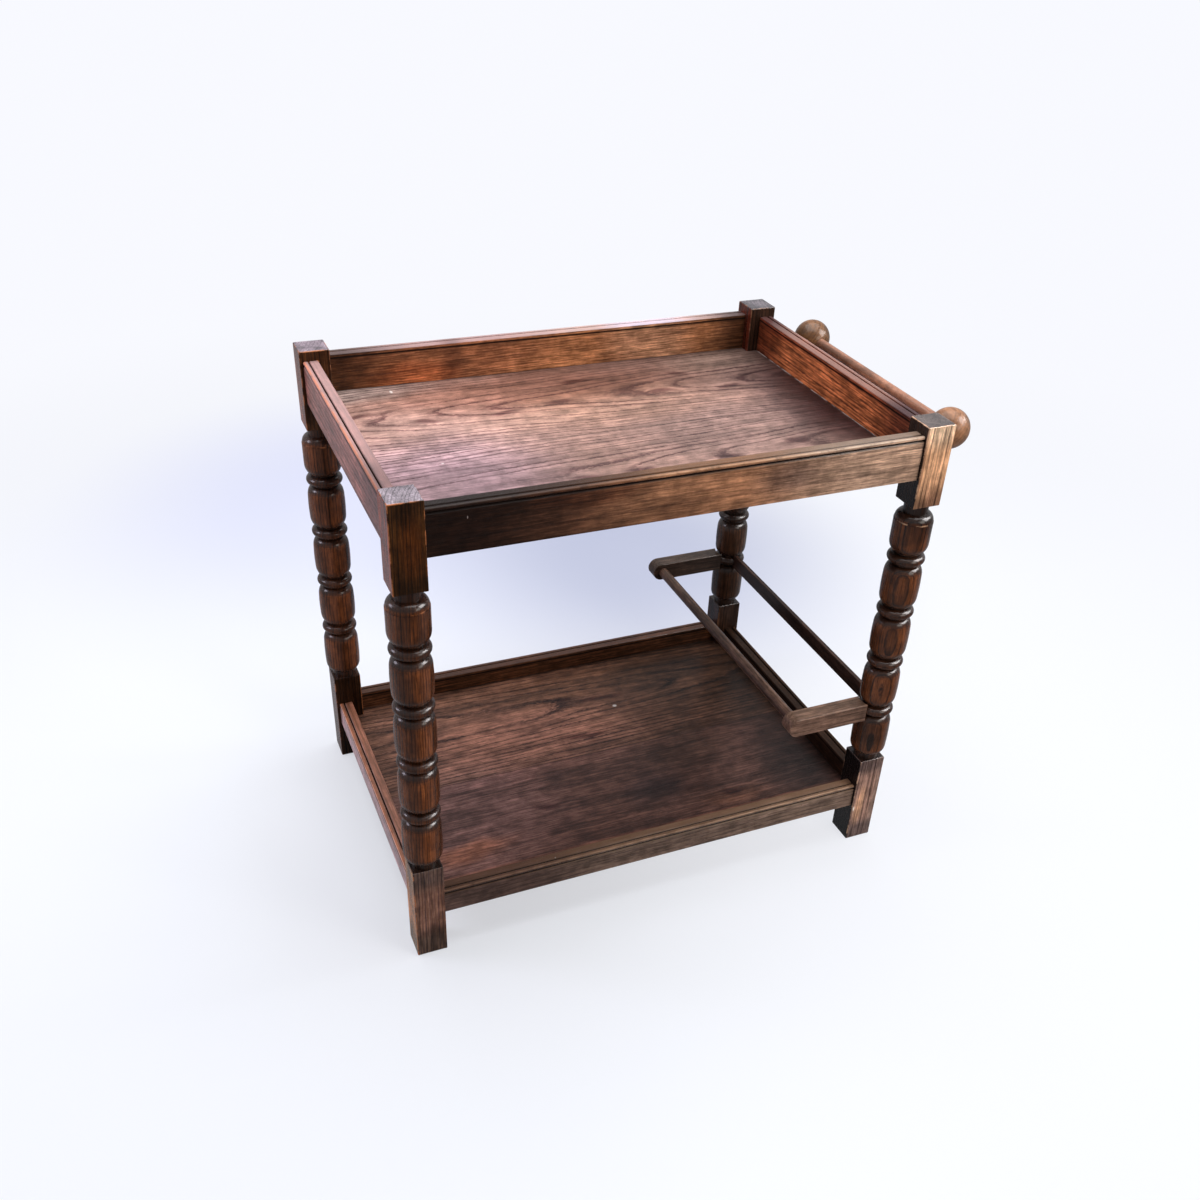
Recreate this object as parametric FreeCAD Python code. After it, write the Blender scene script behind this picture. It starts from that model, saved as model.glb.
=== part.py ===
import FreeCAD, Part
import math
import os

from FreeCAD import Vector

# Oak bar cart with two trays, four turned posts, an end handle and a bottle rack.
# Lengths are millimetres. X runs along the cart towards the handle, Y from the
# front to the back and Z up from the floor. Every piece is drawn about the middle
# of the four posts and moved at the end, so that the origin lies on the floor
# under the middle of the whole cart.

# Posts
post_side = 44.5
post_half_spacing_x = 368.0
post_half_spacing_y = 252.0
foot_block_height = 165.2
top_block_height = 121.0
post_arris_radius = 1.3
post_top_radius = 1.8
foot_bevel = 2.4

# Turned shaft of a post
barrel_radius = 28.4
barrel_waist_inset = 0.5
bead_inset = 0.6
bead_half_height = 7.9
bead_count = 4
bead_pitch = 89.3
first_bead_rise = 94.5
top_bead_drop = 88.4
neck_radius = 18.4
neck_height = 2.6
shoulder_height = 16.5
foot_neck_radius = 19.4
foot_neck_height = 10.4
foot_shoulder_height = 13.5
head_neck_radius = 17.7
head_neck_height = 14.8
dome_height = 11.6
dome_step = 0.7
dome_step_height = 0.9
shaft_root = 6.0

# Rails of both trays
rail_thickness = 21.4
rail_recess = 5.2
rail_arris = 0.9
rail_bead_width = 6.4
rail_bead_height = 4.2
rail_bead_outer_radius = 2.2
rail_bead_inner_radius = 1.4
top_quirk_width = 3.4
face_quirk_width = 3.7
quirk_floor_width = 0.9
quirk_depth = 2.8
upper_rail_drop = 14.7
upper_rail_height = 64.2
lower_rail_bottom = 71.0
lower_rail_height = 41.7

# Tenons of the rails
tenon_thickness = 9.0
tenon_wall = 6.1
tenon_top_shoulder = 14.0
tenon_bottom_shoulder = 7.0

# Tray boards
upper_board_rise = 8.2
lower_board_rise = 10.4
board_thickness = 7.6
tongue_thickness = 5.0
tongue_reach = 5.5
groove_depth = 6.2

# Handle at the right end
ball_radius = 29.6
ball_inset = 36.05
handle_drop = 30.5
handle_standoff = 60.65
handle_rod_radius = 8.2
rod_socket_depth = 14.0
collar_radius = 26.0
collar_thickness = 7.2
collar_rounding = 2.6
pillar_radius = 8.2
pillar_tenon_radius = 6.0
pillar_tenon_length = 13.0
pillar_peg_radius = 5.5
pillar_peg_depth = 14.0

# Bottle rack at the right end
rack_bead_drop = 1.1
arm_height = 31.6
arm_width = 26.4
arm_reach = 145.7
arm_arris = 0.8
arm_tenon_radius = 6.3
arm_tenon_end = 9.0
rack_rod_radius = 8.6
rack_rod_setback = 2.4
rack_socket_depth = 13.0
slat_height = 25.2
slat_thickness = 7.4
slat_housing_end = 13.0
slat_arris = 0.7

# Nail hole in the lower front rail
nail_hole_radius = 1.3
nail_hole_depth = 5.0
nail_hole_inset = 97.55
nail_hole_drop = 11.8

# Clearances
joint_clearance = 0.15
joint_end_gap = 0.5
board_edge_gap = 0.4
curved_gap = 0.3
cutter_overrun = 2.0

# Shares
arc_weight_share = math.sqrt(1 / 2)

# Places that several pieces share
post_half_side = post_side / 2
post_outer_x = post_half_spacing_x + post_half_side
post_outer_y = post_half_spacing_y + post_half_side
first_bead_height = foot_block_height + first_bead_rise
bead_heights = [first_bead_height + bead_pitch * step for step in range(bead_count)]
bead_radius = barrel_radius - bead_inset
shaft_top = bead_heights[-1] + top_bead_drop
cart_height = shaft_top + top_block_height
upper_rail_top = cart_height - upper_rail_drop
upper_rail_bottom = upper_rail_top - upper_rail_height
lower_rail_top = lower_rail_bottom + lower_rail_height
rail_outer_x = post_outer_x - rail_recess
rail_outer_y = post_outer_y - rail_recess
rail_inner_x = rail_outer_x - rail_thickness
rail_inner_y = rail_outer_y - rail_thickness
rail_run_x = 2 * post_half_spacing_x - post_side
rail_run_y = 2 * post_half_spacing_y - post_side
tenon_length = post_side - rail_recess - (rail_thickness + tenon_thickness) / 2 - tenon_wall
ball_half_spacing = rail_run_y / 2 - ball_inset
handle_height = upper_rail_top - handle_drop
handle_reach = rail_outer_x + handle_standoff
arm_middle_height = first_bead_height - rack_bead_drop
rack_top = arm_middle_height + arm_height / 2
slat_middle_height = rack_top - slat_height / 2
arm_nose_centre = post_half_spacing_x - arm_reach
rack_rod_x = arm_nose_centre + rack_rod_setback
shaft_outer_x = post_half_spacing_x + barrel_radius
frame_shift = Vector((shaft_outer_x - handle_reach - ball_radius) / 2, 0, 0)

up = Vector(0, 0, 1)
along_x = Vector(1, 0, 0)
along_y = Vector(0, 1, 0)

trays = {
    "upper": (upper_rail_bottom, upper_rail_top, upper_rail_bottom + upper_board_rise),
    "lower": (lower_rail_bottom, lower_rail_top, lower_rail_bottom + lower_board_rise),
}

# Each side of a tray: its direction, its run and the outer face's distance
sides = {
    "front": (Vector(1, 0, 0), rail_run_x, rail_outer_y),
    "right": (Vector(0, 1, 0), rail_run_y, rail_outer_x),
    "back": (Vector(-1, 0, 0), rail_run_x, rail_outer_y),
    "left": (Vector(0, -1, 0), rail_run_y, rail_outer_x),
}

corners = {
    "front_left": (-1, -1),
    "front_right": (1, -1),
    "back_left": (-1, 1),
    "back_right": (1, 1),
}

ends = {"front": -1, "back": 1}


def block(low, high):
    """Box between two opposite corners."""
    size = high - low
    return Part.makeBox(size.x, size.y, size.z, low)


def bar(centre, half_x, half_y, bottom, top):
    """Upright box round a centre line."""
    low = Vector(centre.x - half_x, centre.y - half_y, bottom)
    high = Vector(centre.x + half_x, centre.y + half_y, top)
    return block(low, high)


def turned_to(shape, direction):
    """Shape drawn for the front, turned about the upright axis to another side."""
    angle = math.degrees(math.atan2(direction.y, direction.x))
    turned = shape.copy()
    turned.rotate(Vector(0, 0, 0), up, angle)
    return turned


def upright_edges(shape):
    """Straight edges that stand upright."""
    found = []
    for edge in shape.Edges:
        first = edge.Vertexes[0].Point
        last = edge.Vertexes[-1].Point
        step = last - first
        if abs(step.z) > abs(step.x) + abs(step.y):
            found.append(edge)
    return found


def level_edges(shape, height):
    """Edges that lie at one height."""
    found = []
    for edge in shape.Edges:
        box = edge.BoundBox
        if abs(box.ZMin - height) + abs(box.ZMax - height) < joint_clearance:
            found.append(edge)
    return found


def line(start, end):
    return Part.makeLine(start, end)


def corner_curve(start, corner, end):
    """Quarter circle or ellipse that rounds the corner between two ends."""
    curve = Part.BezierCurve()
    curve.setPoles([start, corner, end])
    curve.setWeight(2, arc_weight_share)
    return curve.toShape()


def quarter_curve(neck, belly):
    """Quarter ellipse that leaves the neck level and meets the belly upright."""
    return corner_curve(neck, Vector(belly.x, 0, neck.z), belly)


def barrel_edges(bottom, bottom_neck, bottom_rise, top):
    """Profile of one barrel from the neck under it to the neck over it."""
    low_neck = Vector(bottom_neck, 0, bottom)
    low_belly = Vector(barrel_radius - barrel_waist_inset, 0, bottom + bottom_rise)
    high_belly = Vector(barrel_radius - barrel_waist_inset, 0, top - shoulder_height)
    middle = Vector(barrel_radius, 0, (low_belly.z + high_belly.z) / 2)
    high_neck = Vector(neck_radius, 0, top)
    side = Part.Arc(low_belly, middle, high_belly).toShape()
    return [quarter_curve(low_neck, low_belly), side, quarter_curve(high_neck, high_belly)]


def bead_edges(height):
    """Profile of one bead ring with the necks that join it to the barrels."""
    low = Vector(neck_radius, 0, height - bead_half_height)
    high = Vector(neck_radius, 0, height + bead_half_height)
    belly = Vector(bead_radius, 0, height)
    below = Vector(neck_radius, 0, low.z - neck_height)
    above = Vector(neck_radius, 0, high.z + neck_height)
    return [line(below, low), quarter_curve(low, belly), quarter_curve(high, belly), line(high, above)]


def head_edges(bottom):
    """Profile of the top barrel, its dome and the neck under the top block."""
    neck_bottom = shaft_top - head_neck_height
    dome_bottom = neck_bottom - dome_height
    step_bottom = dome_bottom - dome_step_height
    low_neck = Vector(neck_radius, 0, bottom)
    low_belly = Vector(barrel_radius, 0, bottom + shoulder_height)
    arris = Vector(barrel_radius, 0, step_bottom)
    step_in = Vector(barrel_radius - dome_step, 0, step_bottom)
    dome_foot = Vector(barrel_radius - dome_step, 0, dome_bottom)
    dome_head = Vector(head_neck_radius, 0, neck_bottom)
    root = Vector(head_neck_radius, 0, shaft_top + shaft_root)
    return [
        quarter_curve(low_neck, low_belly),
        line(low_belly, arris),
        line(arris, step_in),
        line(step_in, dome_foot),
        quarter_curve(dome_head, dome_foot),
        line(dome_head, root),
    ]


def shaft():
    """Turned shaft about the upright axis, with a root in each block."""
    root = Vector(foot_neck_radius, 0, foot_block_height - shaft_root)
    foot_neck = Vector(foot_neck_radius, 0, foot_block_height + foot_neck_height)
    edges = [line(root, foot_neck)]
    bead_reach = bead_half_height + neck_height
    bottom = foot_neck.z
    bottom_neck = foot_neck_radius
    bottom_rise = foot_shoulder_height
    for height in bead_heights:
        edges += barrel_edges(bottom, bottom_neck, bottom_rise, height - bead_reach)
        edges += bead_edges(height)
        bottom = height + bead_reach
        bottom_neck = neck_radius
        bottom_rise = shoulder_height
    edges += head_edges(bottom)
    low_centre = Vector(0, 0, root.z)
    high_centre = Vector(0, 0, shaft_top + shaft_root)
    edges.append(line(Vector(head_neck_radius, 0, high_centre.z), high_centre))
    edges.append(line(high_centre, low_centre))
    edges.append(line(low_centre, root))
    outline = Part.Wire(Part.__sortEdges__(edges))
    return Part.Face(outline).revolve(Vector(0, 0, 0), up)


def foot_block():
    """Square block from the floor to the shaft."""
    shape = bar(Vector(0, 0, 0), post_half_side, post_half_side, 0, foot_block_height)
    worn = upright_edges(shape) + level_edges(shape, foot_block_height)
    shape = shape.makeFillet(post_arris_radius, worn)
    return shape.makeChamfer(foot_bevel, level_edges(shape, 0))


def top_block():
    """Square block from the shaft to the top of the post."""
    shape = bar(Vector(0, 0, 0), post_half_side, post_half_side, shaft_top, cart_height)
    worn = upright_edges(shape) + level_edges(shape, shaft_top)
    shape = shape.makeFillet(post_arris_radius, worn)
    return shape.makeFillet(post_top_radius, level_edges(shape, cart_height))


def tenon(tray, run, outer, grow):
    """Tenon at the right end of a front rail, or with grow its mortise."""
    bottom, top, board_top = trays[tray]
    middle = -outer + rail_thickness / 2
    half = tenon_thickness / 2 + grow
    end_gap = joint_end_gap if grow else 0
    low = Vector(run / 2, middle - half, bottom + tenon_bottom_shoulder - grow)
    high = Vector(run / 2 + tenon_length + end_gap, middle + half, top - tenon_top_shoulder + grow)
    return block(low, high)


def tenon_pair(tray, run, outer, grow):
    """Tenons at both ends of a front rail, or with grow their mortises."""
    right = tenon(tray, run, outer, grow)
    left = right.mirror(Vector(0, 0, 0), along_x)
    return [right, left]


def mortises():
    """Every mortise that the rails need in the posts."""
    cutters = []
    for tray in trays:
        for direction, run, outer in sides.values():
            for cutter in tenon_pair(tray, run, outer, joint_clearance):
                cutters.append(turned_to(cutter, direction))
    return cutters


def chain(points):
    """Straight edges from point to point."""
    return [line(start, end) for start, end in zip(points, points[1:])]


def rail_section(tray, outer):
    """Section of a front rail: corner bead, two sloping quirks and the board's groove."""
    bottom, top, board_top = trays[tray]

    def at(inward, height):
        return Vector(0, inward - outer, height)

    bead_bottom = top - rail_bead_height
    quirk_bottom = bead_bottom - face_quirk_width
    quirk_inner = rail_bead_width + top_quirk_width
    bead_inner = rail_bead_width
    small = rail_bead_inner_radius
    large = rail_bead_outer_radius
    bead = [
        line(at(quirk_depth, bead_bottom), at(small, bead_bottom)),
        corner_curve(at(small, bead_bottom), at(0, bead_bottom), at(0, bead_bottom + small)),
        line(at(0, bead_bottom + small), at(0, top - large)),
        corner_curve(at(0, top - large), at(0, top), at(large, top)),
        line(at(large, top), at(bead_inner - small, top)),
        corner_curve(at(bead_inner - small, top), at(bead_inner, top), at(bead_inner, top - small)),
        line(at(bead_inner, top - small), at(bead_inner, top - quirk_depth)),
    ]
    groove_top = board_top + joint_clearance
    groove_bottom = board_top - tongue_thickness
    groove_floor = rail_thickness - groove_depth
    body = chain([
        at(bead_inner, top - quirk_depth),
        at(bead_inner + quirk_floor_width, top - quirk_depth),
        at(quirk_inner, top),
        at(rail_thickness - rail_arris, top),
        at(rail_thickness, top - rail_arris),
        at(rail_thickness, groove_top),
        at(groove_floor, groove_top),
        at(groove_floor, groove_bottom),
        at(rail_thickness, groove_bottom),
        at(rail_thickness, bottom + rail_arris),
        at(rail_thickness - rail_arris, bottom),
        at(rail_arris, bottom),
        at(0, bottom + rail_arris),
        at(0, quirk_bottom),
        at(quirk_depth, bead_bottom - quirk_floor_width),
        at(quirk_depth, bead_bottom),
    ])
    return Part.Face(Part.Wire(bead + body))


def front_rail(tray, run, outer):
    """Moulded rail as it lies at the front, with both tenons."""
    section = rail_section(tray, outer)
    section.translate(Vector(-run / 2, 0, 0))
    shape = section.extrude(Vector(run, 0, 0))
    return shape.fuse(tenon_pair(tray, run, outer, 0)).removeSplitter()


def rail(tray, side):
    direction, run, outer = sides[side]
    return turned_to(front_rail(tray, run, outer), direction)


def pillar_hole(end):
    """Hole in the right upper rail for the tenon of a handle pillar."""
    depth = pillar_tenon_length + joint_end_gap
    start = Vector(rail_outer_x - depth, end * ball_half_spacing, handle_height)
    return Part.makeCylinder(pillar_tenon_radius + joint_clearance, depth + cutter_overrun, start, along_x)


def nail_hole():
    """Small round hole in the face of the lower front rail."""
    along = rail_run_x / 2 - nail_hole_inset
    start = Vector(along, -rail_outer_y - cutter_overrun, lower_rail_top - nail_hole_drop)
    return Part.makeCylinder(nail_hole_radius, nail_hole_depth + cutter_overrun, start, along_y)


def upper_right_rail():
    """End rail that carries the handle."""
    return rail("upper", "right").cut([pillar_hole(end) for end in ends.values()])


def lower_front_rail():
    """Lower rail with the nail hole."""
    return rail("lower", "front").cut(nail_hole())


def board(tray):
    """Tray board, tongued into the rails and notched round the posts."""
    bottom, top, board_top = trays[tray]
    centre = Vector(0, 0, 0)
    panel = bar(
        centre,
        rail_inner_x - board_edge_gap,
        rail_inner_y - board_edge_gap,
        board_top - board_thickness,
        board_top,
    )
    tongue = bar(
        centre,
        rail_inner_x + tongue_reach,
        rail_inner_y + tongue_reach,
        board_top - tongue_thickness,
        board_top,
    )
    shape = panel.fuse(tongue)
    notches = []
    half = post_half_side + board_edge_gap
    for x_sign, y_sign in corners.values():
        post_centre = Vector(x_sign * post_half_spacing_x, y_sign * post_half_spacing_y, 0)
        notches.append(bar(post_centre, half, half, bottom, top))
    return shape.cut(notches).removeSplitter()


def arm_tenon(end, grow):
    """Round tenon of a rack arm, or with grow its hole in the shaft."""
    end_gap = joint_end_gap if grow else 0
    start_x = post_half_spacing_x - bead_radius - cutter_overrun
    end_x = post_half_spacing_x - arm_tenon_end + end_gap
    start = Vector(start_x, end * post_half_spacing_y, arm_middle_height)
    return Part.makeCylinder(arm_tenon_radius + grow, end_x - start_x, start, along_x)


def slat_bar(grow):
    """Rear slat of the rack with its housed ends, or with grow its housings."""
    end_gap = joint_end_gap if grow else 0
    half_length = post_half_spacing_y - slat_housing_end + end_gap
    half_thickness = slat_thickness / 2 + grow
    centre = Vector(post_half_spacing_x, 0, 0)
    bottom = slat_middle_height - slat_height / 2 - grow
    top = slat_middle_height + slat_height / 2 + grow
    return bar(centre, half_thickness, half_length, bottom, top)


def rack_slat():
    shape = slat_bar(0)
    edges = level_edges(shape, rack_top) + level_edges(shape, rack_top - slat_height)
    return shape.makeChamfer(slat_arris, edges)


def post(corner):
    """One post with the mortises and holes that its corner needs."""
    x_sign, y_sign = corners[corner]
    shape = foot_block().fuse([shaft(), top_block()]).removeSplitter()
    shape.translate(Vector(x_sign * post_half_spacing_x, y_sign * post_half_spacing_y, 0))
    cutters = mortises()
    if x_sign > 0:
        cutters.append(arm_tenon(y_sign, joint_clearance))
        cutters.append(slat_bar(joint_clearance))
    return shape.cut(cutters)


def rack_arm(end):
    """Arm with a round nose, coped over the bead of the shaft."""
    middle_y = end * post_half_spacing_y
    half_height = arm_height / 2
    nose_start = Vector(arm_nose_centre, middle_y - arm_width / 2, arm_middle_height)
    nose = Part.makeCylinder(half_height, arm_width, nose_start, along_y)
    low = Vector(arm_nose_centre, middle_y - arm_width / 2, arm_middle_height - half_height)
    high = Vector(post_half_spacing_x, middle_y + arm_width / 2, arm_middle_height + half_height)
    body = nose.fuse(block(low, high)).removeSplitter()
    body = body.makeChamfer(arm_arris, nose_edges(body, middle_y))
    cope_start = Vector(post_half_spacing_x, middle_y, arm_middle_height - arm_height)
    cope = Part.makeCylinder(bead_radius + curved_gap, 2 * arm_height, cope_start, up)
    shape = body.cut(cope).fuse(arm_tenon(end, 0)).removeSplitter()
    return shape.cut(rack_socket(end))


def nose_edges(body, middle_y):
    """Long edges of an arm and the rim of its nose, on both of its sides."""
    found = []
    for edge in body.Edges:
        box = edge.BoundBox
        on_side = box.YLength < joint_clearance
        at_far_end = box.XMin > post_half_spacing_x - joint_clearance
        if on_side and not at_far_end:
            found.append(edge)
    return found


def rod_reach(end, depth):
    """Y at which a rod that enters an arm by a depth comes to its end."""
    return end * (post_half_spacing_y - arm_width / 2 + depth)


def rack_socket(end):
    """Blind hole in an arm's inner face for the rack rod."""
    inner = rod_reach(end, -cutter_overrun)
    outer = rod_reach(end, rack_socket_depth + joint_end_gap)
    start = Vector(rack_rod_x, min(inner, outer), arm_middle_height)
    return Part.makeCylinder(rack_rod_radius + joint_clearance, abs(outer - inner), start, along_y)


def rack_rod():
    half = rod_reach(1, rack_socket_depth)
    start = Vector(rack_rod_x, -half, arm_middle_height)
    return Part.makeCylinder(rack_rod_radius, 2 * half, start, along_y)


def handle_rod():
    half = ball_half_spacing - ball_radius + rod_socket_depth
    start = Vector(handle_reach, -half, handle_height)
    return Part.makeCylinder(handle_rod_radius, 2 * half, start, along_y)


def handle_socket():
    """Room that the handle rod needs in both balls."""
    half = ball_half_spacing - ball_radius + rod_socket_depth + joint_end_gap
    start = Vector(handle_reach, -half, handle_height)
    return Part.makeCylinder(handle_rod_radius + joint_clearance, 2 * half, start, along_y)


def pillar_peg(end, grow):
    """Peg of a pillar inside its ball, or with grow the ball's socket."""
    end_gap = joint_end_gap if grow else 0
    peg_end = handle_reach - ball_radius + pillar_peg_depth + end_gap
    start = Vector(rail_outer_x + collar_thickness, end * ball_half_spacing, handle_height)
    return Part.makeCylinder(pillar_peg_radius + grow, peg_end - start.x, start, along_x)


def pillar_seat(end):
    """Shallow flat bored in the ball for the stem of its pillar."""
    seat_drop = ball_radius - math.sqrt(ball_radius ** 2 - pillar_radius ** 2)
    seat_x = handle_reach - ball_radius + seat_drop
    start = Vector(rail_outer_x, end * ball_half_spacing, handle_height)
    return Part.makeCylinder(pillar_radius + curved_gap, seat_x - start.x, start, along_x)


def handle_ball(end):
    """Wooden ball that joins a pillar to the rod."""
    centre = Vector(handle_reach, end * ball_half_spacing, handle_height)
    ball = Part.makeSphere(ball_radius, centre)
    return ball.cut([handle_socket(), pillar_peg(end, joint_clearance), pillar_seat(end)])


def handle_pillar(end):
    """Turned pillar: tenon in the rail, round collar, stem and peg in the ball."""
    centre = Vector(rail_outer_x, end * ball_half_spacing, handle_height)
    collar = Part.makeCylinder(collar_radius, collar_thickness, centre, along_x)
    collar_face = rail_outer_x + collar_thickness
    rim = [edge for edge in collar.Edges if edge.BoundBox.XMin > collar_face - joint_clearance]
    collar = collar.makeFillet(collar_rounding, rim)
    seat_drop = ball_radius - math.sqrt(ball_radius ** 2 - pillar_radius ** 2)
    stem_end = handle_reach - ball_radius + seat_drop
    stem = Part.makeCylinder(pillar_radius, stem_end - rail_outer_x, centre, along_x)
    tenon_start = centre - Vector(pillar_tenon_length, 0, 0)
    tenon_run = pillar_tenon_length + collar_thickness
    wall_tenon = Part.makeCylinder(pillar_tenon_radius, tenon_run, tenon_start, along_x)
    return collar.fuse([stem, wall_tenon, pillar_peg(end, 0)]).removeSplitter()


def save(name, shape):
    """Writes one piece, moved to the frame's origin."""
    placed = shape.copy()
    placed.translate(frame_shift)
    if len(placed.Solids) == 1:
        placed = placed.Solids[0]
    placed.exportStep(os.path.join("parts", name + ".step"))


def build():
    os.makedirs("parts", exist_ok=True)
    for corner in corners:
        save("post_" + corner, post(corner))
    special_rails = {
        ("upper", "right"): upper_right_rail,
        ("lower", "front"): lower_front_rail,
    }
    for tray in trays:
        for side in sides:
            if (tray, side) in special_rails:
                shape = special_rails[(tray, side)]()
            else:
                shape = rail(tray, side)
            save(tray + "_rail_" + side, shape)
        save(tray + "_board", board(tray))
    for name, end in ends.items():
        save("handle_pillar_" + name, handle_pillar(end))
        save("handle_ball_" + name, handle_ball(end))
        save("rack_arm_" + name, rack_arm(end))
    save("handle_rod", handle_rod())
    save("rack_rod", rack_rod())
    save("rack_slat", rack_slat())


build()
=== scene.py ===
import math

import bpy
from mathutils import Matrix, Vector


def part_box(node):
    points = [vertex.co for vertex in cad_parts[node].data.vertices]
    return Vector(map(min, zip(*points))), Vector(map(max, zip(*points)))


# Looks of an old oak bar cart. Lengths are metres in the cart's own frame.

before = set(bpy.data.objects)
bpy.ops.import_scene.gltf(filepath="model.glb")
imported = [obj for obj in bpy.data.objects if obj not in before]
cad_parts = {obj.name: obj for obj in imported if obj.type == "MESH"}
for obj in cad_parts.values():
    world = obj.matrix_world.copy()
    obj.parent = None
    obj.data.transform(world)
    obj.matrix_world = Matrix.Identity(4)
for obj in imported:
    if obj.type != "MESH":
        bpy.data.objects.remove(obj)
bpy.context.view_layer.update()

# Camera, solved from the straight edges of the posts and rails
EYE = Vector((-0.69780, -1.50358, 1.37093))
VIEW_AZIMUTH = -25.050
VIEW_ELEVATION = 35.209
VIEW_ROLL = 3.296
FRAME_PIXELS = 1200.0
FOCAL_PIXELS = 1216.5
CENTRE_PIXEL_X = 622.6
CENTRE_PIXEL_Y = 687.9
SENSOR_WIDTH = 36.0

# Stage and light
FLOOR_HALF = 20.0
FLOOR_COLOR = (0.72, 0.77, 0.83)
BACKDROP_COLOR = (0.94, 0.95, 1.0)
# Painted shadows of the cart on the floor: a lilac one behind it on the left, a darker one behind its middle
LILAC_SHADOW_COLOR = (0.74, 0.76, 0.98)
LILAC_SHADOW_PLACE = (-0.15, 1.15, 0.0)
LILAC_SHADOW_CORE = 0.2
LILAC_SHADOW_REACH = 0.85
MIDDLE_SHADOW_COLOR = (0.40, 0.43, 0.62)
MIDDLE_SHADOW_PLACE = (0.35, 0.75, 0.0)
MIDDLE_SHADOW_CORE = 0.1
MIDDLE_SHADOW_REACH = 0.75
MIDDLE_SHADOW_SHARE = 0.9
# Near the cart the floor glows more towards the right, which paints the cart's shadow paler there
FLOOR_NEAR_SHARE = 0.58
FLOOR_LIT_SHARE = 0.80
FLOOR_TURN = 0.35
FLOOR_NEAR = 0.5
FLOOR_FAR = 2.6
WORLD_STRENGTH = 0.12
GLOSS_STRENGTH = 0.70
FLOOR_SHEEN_SHARE = 0.45

# Posts: sizes as the frame has them, then how far wear, dark stain and painted shade reach and how strong
# they are
POST_HALF = 0.02225
FOOT_BLOCK_TOP = 0.1652
TOP_BLOCK_BOTTOM = 0.616
CART_TOP = 0.737
NECK_RADIUS = 0.0225
FIRST_BEAD = 0.2597
BEAD_PITCH = 0.0893
BEAD_HALF = 0.0079
BEAD_COUNT = 4
DOME_ARRIS = 0.5896
ARRIS_WIDTH = 0.0020
HOLLOW_DEPTH = 0.003
HOLLOW_RISE = 0.001
BEAD_EDGE = 0.002
SHOULDER_NEAR = 0.0004
SHOULDER_FAR = 0.0014
END_LOW = 0.004
END_HIGH = 0.002
NECK_STAIN_AND_SHADE_SHARE = 0.75
UNDER_SHADE_SHARE = 0.6
OVER_SHARE = 0.72
BEAD_SHARE = 0.62
POST_ROUGHNESS = (0.20, 0.34)
POST_COAT_SHARE = 0.30
POST_SHEEN_SHARE = 0.16
POST_FRONT_SHARE = 0.35

# Rails: the bead and its quirks as the frame has them, then how far the rubbed crest with its painted
# highlight and the painted shade in the quirks reach
BEAD_WIDTH = 0.0064
BEAD_HEIGHT = 0.0042
TOP_QUIRK = 0.0034
FACE_QUIRK = 0.0037
QUIRK_SOFTNESS = 0.0005
CREST_WIDTH = 0.0046
CREST_HEIGHT = 0.0026
GROOVE_SHADE_SHARE = 0.97

# Figure of the oak. A scale says how often a noise changes along, across and across the grain, per metre.
WAVE_SCALE = (5.0, 16.0, 16.0)
CURL_SCALE = (28.0, 70.0, 70.0)
CURL_SHARES = (0.12, 0.12, 0.12)
RAGGED_SCALE = (150.0, 420.0, 420.0)
FIBRE_SCALE = (26.0, 650.0, 650.0)
PORE_SCALE = (75.0, 1500.0, 1500.0)
MOTTLE_SCALE = (6.0, 38.0, 38.0)
STREAK_SCALE = (30.0, 420.0, 420.0)
YEAR_SCALE = 6.0
PATCH_SCALE = (45.0, 45.0, 45.0)
WANDER_SCALE = (9.0, 9.0, 9.0)
NOISE_MIDDLE = (0.5, 0.5, 0.5)
SMOOTH_DETAIL = 1.0
PLAIN_DETAIL = 2.0
FINE_DETAIL = 3.0
PATCH_DETAIL = 4.0
PLAIN_ROUGHNESS = 0.5
FINE_ROUGHNESS = 0.6
COARSE_ROUGHNESS = 0.65
# Rings: how their widths and their strengths change from year to year, and where early wood begins and ends
WIDTH_RATE = 0.6
WIDTH_CHANGE = 1.6
STRENGTH_RATE = 3.7
ONSET_RANGE = (0.90, 1.0)
FADE_RANGE = (0.0, 0.36)
STRENGTH_RANGE = (0.30, 0.58)
WEAK_YEAR_SHARE = 0.3
# A range says between which two values of a noise the wood changes from one state to the other
EARLY_FIBRE_RANGE = (0.3, 0.55)
EARLY_FIBRE_SHARE = 0.55
DASH_RANGE = (0.53, 0.63)
EARLY_PORE_SHARE = 0.65
LATE_PORE_SHARE = 0.35
FIBRE_RANGE = (0.28, 0.72)
MOTTLE_RANGE = (0.34, 0.66)
MOTTLE_PALE_SHARE = 1.25
PATCH_RANGE = (0.3, 0.7)
PATCH_SHARES = (0.72, 1.28)
STREAK_RANGE = (0.34, 0.66)
# Colour of dirt and dark stain, also laid as painted shade in the necks, under the swellings, in the quirks
# and along the board edges
DIRT_AND_SHADE = (0.012, 0.008, 0.007)

# Wear, and the painted highlight on the rail crests: the middle and the softness of the threshold above which
# rubbed and highlit patches show
ARRIS_BREAK = (0.54, 0.08)
CREST_BREAK = (0.42, 0.12)
DUST_BREAK = (0.50, 0.10)
MARK_BREAK = (0.40, 0.10)
ZONE_EDGE = (0.25, 1.0)
MARK_EDGE = (0.3, 1.0)

# Faces, told by one part of their normal: a mask changes between these two values of it
LEFT_FACES = (-0.9, -0.6)
FRONT_FACES = (-0.9, -0.5)
FLAT_FACES = (0.96, 0.995)
UNDER_FACES = (-0.5, 0.2)
OVER_FACES = (0.10, 0.45)
MOULDING_TOPS = (0.15, 0.7)
END_FACES = (0.7, 0.9)
PLAIN_TOPS = (0.5, 0.9)

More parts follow.
